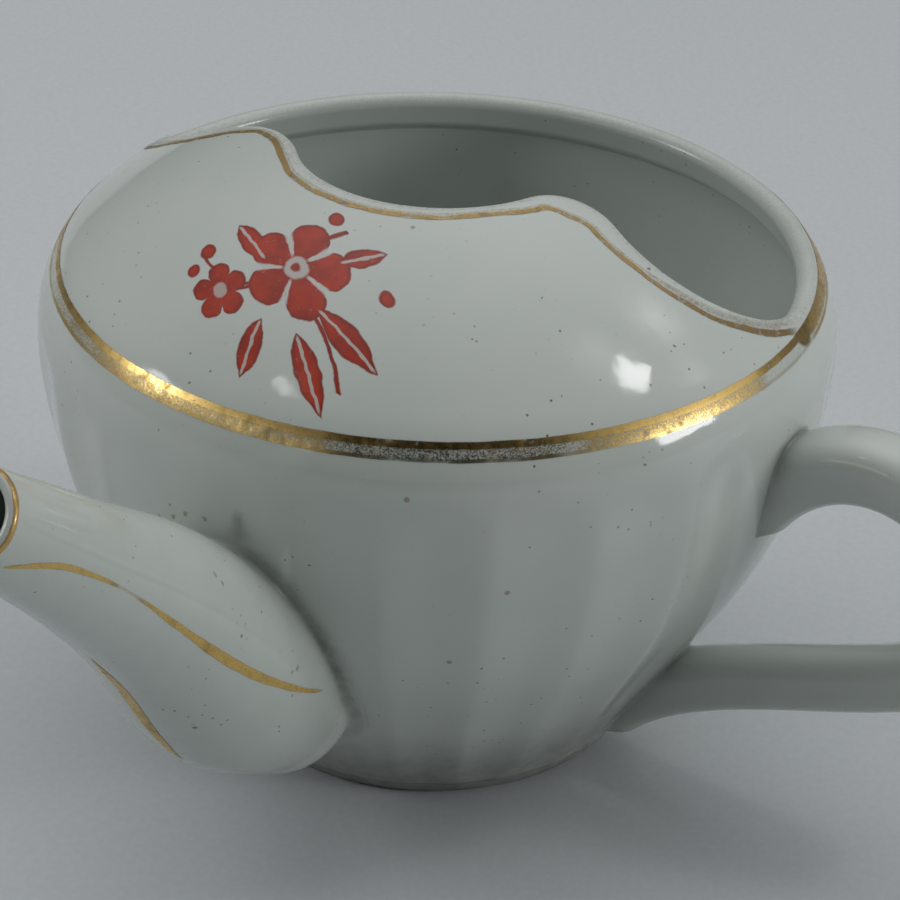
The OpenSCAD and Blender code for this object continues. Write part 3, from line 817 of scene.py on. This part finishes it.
# Edge line: a thin gold line drawn with a liner brush just behind the rounded bow edge, from the
# shoulder band on one side to the band on the other. It has worn most on the horns.
# How far it keeps behind the edge is given by the way run from the middle of the bow.
line_gold = srgb(172, 144, 90)
far_set_back = [(0, 2.6), (9.6, 2.5), (14.2, 1.95), (24, 1.95), (28.3, 2.5), (32.6, 3), (36.6, 2.6),
                (40, 2.2), (80, 1.7)]
near_set_back = [(0, 2.5), (8, 2.5), (15, 2.2), (21, 2.9), (27.6, 4.3), (34, 3.9), (40, 3.2),
                 (46, 3), (52, 2.5), (58, 1.9), (80, 1.7)]
end_points, strips, overlap = 5, 14, 0.6
line_wide, line_swell, swell_from, swell_fade = 1.2, 0.9, 38, 8
line_dark, dark_from, dark_fade = 0.55, 36, 10


def knotted(knots, d):
    """A value eased between the knots on both sides of d."""
    (d0, w0), (d1, w1) = next((a, b) for a, b in zip(knots, knots[1:]) if a[0] <= d <= b[0])
    return w0 + (w1 - w0) * ease((d - d0) / (d1 - d0))


edge = bow(0)[end_points:-end_points]
middle = edge.index(min(edge, key=lambda p: p.x))
runs = [0] * len(edge)
for k in range(middle + 1, len(edge)):
    runs[k] = runs[k - 1] + (edge[k] - edge[k - 1]).length
for k in range(middle - 1, -1, -1):
    runs[k] = runs[k + 1] + (edge[k] - edge[k + 1]).length
columns, widths = [], []
for k, (p, run) in enumerate(zip(edge, runs)):
    way = edge[min(k + 1, len(edge) - 1)] - edge[max(k - 1, 0)]
    out = Vector((-way.y, way.x)).normalized()
    set_back = knotted(far_set_back if k < middle else near_set_back, run) + overlap
    wide = line_wide + line_swell * ease((run - swell_from) / swell_fade)
    widths.append(evenly(0, wide, strips))
    columns.append([on_cover(p - out * (set_back - w), lift) for w in widths[-1]])
bm = skin([list(row) for row in zip(*columns)])
inward, browned, drawn_out = layers(bm, "inward", "browned", "drawn_out")
for k, v in enumerate(bm.verts):
    strip, column = divmod(k, len(columns))
    v[inward] = widths[column][strip]
    v[browned] = line_dark * ease((runs[column] - dark_from) / dark_fade)
    v[drawn_out] = ease(min(column, len(columns) - 1 - column) / end_points)
edge_line = piece(bm, "cover_edge_gold", "gilding", "gilt_cover_edge",
                  out=lambda p: Vector((p.x, p.y, 60)))


def drawn_line(where):
    inward = where.layer("inward")
    wavy = inward + where.sway(0.3, 0.4)
    body = wavy.step(0.05, 0.2) * (wavy + where.sway(0.16, 0.7)).step(0.95, 0.75)
    wear = where.noise(0.8, 5, 0.7).step(0.36, 0.52) * 0.6 + 0.4
    fine = where.noise(5, 3, 0.7).step(0.3, 0.5) * 0.35 + 0.65
    smeared = inward.within(0.7, 1.1, 1.5, 2.1) * where.noise(3, 4, 0.75).step(0.3, 0.75) * 0.5
    return (body * wear * fine).most(smeared) * where.layer("drawn_out")


edge_line.data.materials.append(gilding("gilding_line", drawn_line, line_gold, metal=0.4))

# Spout lip: gold brushed round the mouth of the spout while the cup was turned by hand. It lies on
# the glaze over the rounded lip, and drinking has worn it.
lip_gold = srgb(198, 160, 96)
gold_start, gold_sweep = 0.955, 0.8 * pi
bearings = evenly(0, 2 * pi, 96)
rows = [[spout_skin(b, u, -lift) for b in bearings] for u in evenly(gold_start, lip_start, 6)]
rows += [lip_ring(bearings, a, lift) for a in evenly(0, gold_sweep, 10)]
bm = skin(rows)
(across,) = layers(bm, "across")
for k, v in enumerate(bm.verts):
    v[across] = k // len(bearings) / (len(rows) - 1)


def in_cup(p):
    """A place or heading of the spout's side view, in the directions of the cup."""
    return Vector((-p.x, 0, p.y))


def off_lip(p):
    """The way out of the spout's rounded lip."""
    axis = in_cup(tip_d)
    away = p - in_cup(lip_c)
    ahead = away.dot(axis)
    return away - axis * min(ahead, 0) - (away - axis * ahead).normalized() * lip_r


lip = piece(bm, "spout_lip_gold", "gilding", "gilt_spout_lip", out=off_lip)


def brushed_lip(where):
    across = where.layer("across") + where.sway(0.4, 0.1, 3)
    wear = where.noise(1.1, 5, 0.7).step(0.34, 0.5) * 0.6 + 0.4
    return across.within(0.38, 0.44, 0.58, 0.66) * wear


lip.data.materials.append(gilding("gilding_lip", brushed_lip, lip_gold, metal=0.45))

# Spout strokes: three free brush strokes in gold, one along each side and a short one beneath,
# each thick in the middle and drawn out to a point, rubbed thin where the fingers held it.
# A stroke's points are places along the spout and bearings; its swell is its half width.
stroke_gold = srgb(216, 182, 102)
far_stroke = [(0.955, 131), (0.932, 122), (0.898, 110), (0.858, 101), (0.79, 97), (0.722, 98),
              (0.638, 102), (0.538, 105), (0.452, 104), (0.38, 99), (0.305, 92), (0.182, 81)]
near_stroke = [(u, -bearing) for u, bearing in far_stroke]
low_stroke = [(0.61, 181), (0.55, 180), (0.5, 180), (0.45, 180), (0.4, 180), (0.35, 181),
              (0.3, 182), (0.255, 184)]
side_swell = [(0, 0.08), (0.07, 0.28), (0.18, 0.44), (0.27, 0.42), (0.36, 0.28), (0.43, 0.18),
              (0.5, 0.26), (0.58, 0.45), (0.7, 0.72), (0.8, 0.68), (0.9, 0.48), (0.96, 0.28),
              (1, 0.05)]
low_swell = [(0, 0.15), (0.25, 0.8), (0.55, 1.1), (0.8, 0.8), (1, 0.1)]
spout_length, hairs, span_points = 82, 6, 12


def on_spout(spot, u):
    """The point just above the glaze that is nearest to a spot close to u."""
    for _ in range(3):
        c, d, r = along_spout(u)
        u += (spot - in_cup(c)).dot(in_cup(d)) / spout_length
    c, d, r = along_spout(u)
    return in_cup(c) + (spot - in_cup(c)).normalized() * (r + lift)


spout_middles = [in_cup(along_spout(u)[0]) for u in evenly(0, 1, 60)]


def off_spout(p):
    return p - min(spout_middles, key=lambda middle: (p - middle).length)


all_strokes = bmesh.new()
layers(all_strokes, "across", "along", "side")
strokes = [(near_stroke, side_swell), (far_stroke, side_swell), (low_stroke, low_swell)]
for path, swell in strokes:
    knots = [Vector(p) for p in path]
    line = [through(knots, k, t)[0] for k in range(len(knots) - 1)
            for t in evenly(0, 1, span_points)[:-1]]
    line.append(knots[-1])
    rows = []
    for k, (u, bearing) in enumerate(line):
        here = spout_skin(radians(bearing), u)
        ahead, behind = line[min(k + 1, len(line) - 1)], line[max(k - 1, 0)]
        way = spout_skin(radians(ahead.y), ahead.x) - spout_skin(radians(behind.y), behind.x)
        out = (here - in_cup(along_spout(u)[0])).normalized()
        aside = out.cross(way).normalized()
        half = knotted(swell, k / (len(line) - 1))
        rows.append([on_spout(here + aside * half * w, u) for w in evenly(-1, 1, hairs)])
    stroke = skin(rows)
    across, along, beside = layers(stroke, "across", "along", "side")
    for k, v in enumerate(stroke.verts):
        row, hair = divmod(k, hairs + 1)
        v[across], v[along] = 2 * hair / hairs - 1, row / (len(rows) - 1)
        v[beside] = swell is side_swell
    stroke_mesh = bpy.data.meshes.new("stroke")
    stroke.to_mesh(stroke_mesh)
    stroke.free()
    all_strokes.from_mesh(stroke_mesh)
    bpy.data.meshes.remove(stroke_mesh)
brushwork = piece(all_strokes, "spout_strokes_gold", "gilding", "gilt_spout_strokes", out=off_spout)


def rubbed_stroke(where):
    across, along = where.layer("across") + where.sway(0.35, 0.5), where.layer("along")
    body = abs(across).step(1, 0.75) * along.within(0, 0.04, 0.95, 1)
    held = along.within(0.35, 0.42, 0.45, 0.52) * where.layer("side")
    wear = where.noise(0.9, 5, 0.7).step(0.3, 0.46) * 0.5 + 0.5
    return body * wear * (1 - held * 0.75)


brushwork.data.materials.append(gilding("gilding_strokes", rubbed_stroke, stroke_gold, metal=0.35))

# Table and room: a plain pale grey table top under soft light from above and behind, with windows
# on both sides that show in the glaze. The room's light is a few soft lobes, each with its
# bearing, height, narrowness and strength.
table_half, table_rough = 4, 0.75
table_grey, table_grain = srgb(197, 201, 204), srgb(201, 205, 208)
bm = bmesh.new()
bmesh.ops.create_grid(bm, x_segments=1, y_segments=1, size=table_half)
table = placed(bm, "table")
table_top = bpy.data.materials.new("table_top")
table_top.use_nodes = True
grain = Shade(table_top.node_tree).node("ShaderNodeTexCoord", out="Object").noise(900, 3)
surface = feed(table_top, {"Base Color": grain.step(0.3, 0.7).blend(table_grey, table_grain)})
surface.inputs["Roughness"].default_value = table_rough
table.data.materials.append(table_top)


def towards(bearing, height):
    """The way to a light at a bearing and height in degrees."""
    b, h = radians(bearing), radians(height)
    return Vector((cos(b) * cos(h), sin(b) * cos(h), sin(h)))


room_light = (0.98, 0.99, 1, 1)
lobes = [(29.5, 65, 6, 1.3), (29.5, 82, 6, 0.2), (119.5, 22, 5, 0.35), (-60.5, 22, 5, 0.64),
         (-36, 49, 350, 2.6), (-57, 61.5, 500, 1.5), (-50, 42, 400, 1.4)]
world = bpy.data.worlds.new("room")
world.use_nodes = True
way = Shade(world.node_tree).node("ShaderNodeTexCoord", out="Generated")
glow = 0
for bearing, height, narrow, strength in lobes:
    facing = way.node("ShaderNodeVectorMath", {"operation": "DOT_PRODUCT"},
                      {0: way, 1: towards(bearing, height)}, "Value")
    glow = facing.most(0) ** narrow * strength + glow
background = world.node_tree.nodes["Background"]
background.inputs["Color"].default_value = room_light
world.node_tree.links.new(glow.socket, background.inputs["Strength"])
bpy.context.scene.world = world


def facing_turn(way, roll):
    """Rotation of a lamp or camera that looks back along way, rolled by degrees."""
    turn = Matrix.Rotation(radians(roll), 3, "Z").to_quaternion()
    return (way.to_track_quat("Z", "Y") @ turn).to_euler()


def lamp(name, aim, bearing, height, wide, high, power, far=0.9, roll=0):
    """A soft window that faces a point of the cup, at a bearing and height, far metres off."""
    data = bpy.data.lights.new(name, "AREA")
    data.shape, data.size, data.size_y, data.energy = "RECTANGLE", wide, high, power
    made = bpy.data.objects.new(name, data)
    bpy.context.collection.objects.link(made)
    made.location = Vector(aim) * MM + towards(bearing, height) * far
    made.rotation_euler = facing_turn(towards(bearing, height), roll)
    return made


key = lamp("key", (0, 0, 40), 92, 50, wide=0.4, high=0.4, power=0.9, far=1)
key.visible_glossy = False
lamp("window_right", (-21, -39, 70), -59, 54, wide=0.1, high=0.1, power=0.36, roll=8)
lamp("window_left", (-45, -5, 69), 137, 60, wide=0.08, high=0.04, power=0.05)
lamp("window_side", (-48, 10, 66), 120, 25, wide=0.2, high=0.2, power=0.9)
lamp("window_near", (-49.3, -3, 64.5), 156, 28, wide=0.56, high=0.16, power=0.28)
lamp("window_low", (-20, -46, 63.6), -77, 15, wide=0.3, high=0.14, power=1.7)

# Camera: as in the photo, half a metre off, over the handle's side of the spout, with a long lens
# that looks down at the cup.
cup_middle, camera_far, camera_roll = Vector((0, 0, 0.035)), 0.5, 1.65
eye = bpy.data.cameras.new("camera")
eye.lens, eye.sensor_width = 150.4, 36
eye.shift_x, eye.shift_y = 0.0182, 0.0103
eye.clip_start, eye.clip_end = 0.01, 20
camera = bpy.data.objects.new("camera", eye)
bpy.context.collection.objects.link(camera)
back = towards(bearing=-150.5, height=30.34)
camera.location = cup_middle + back * camera_far
camera.rotation_euler = facing_turn(back, camera_roll)
bpy.context.scene.camera = camera
bpy.context.scene.view_settings.view_transform = "Standard"
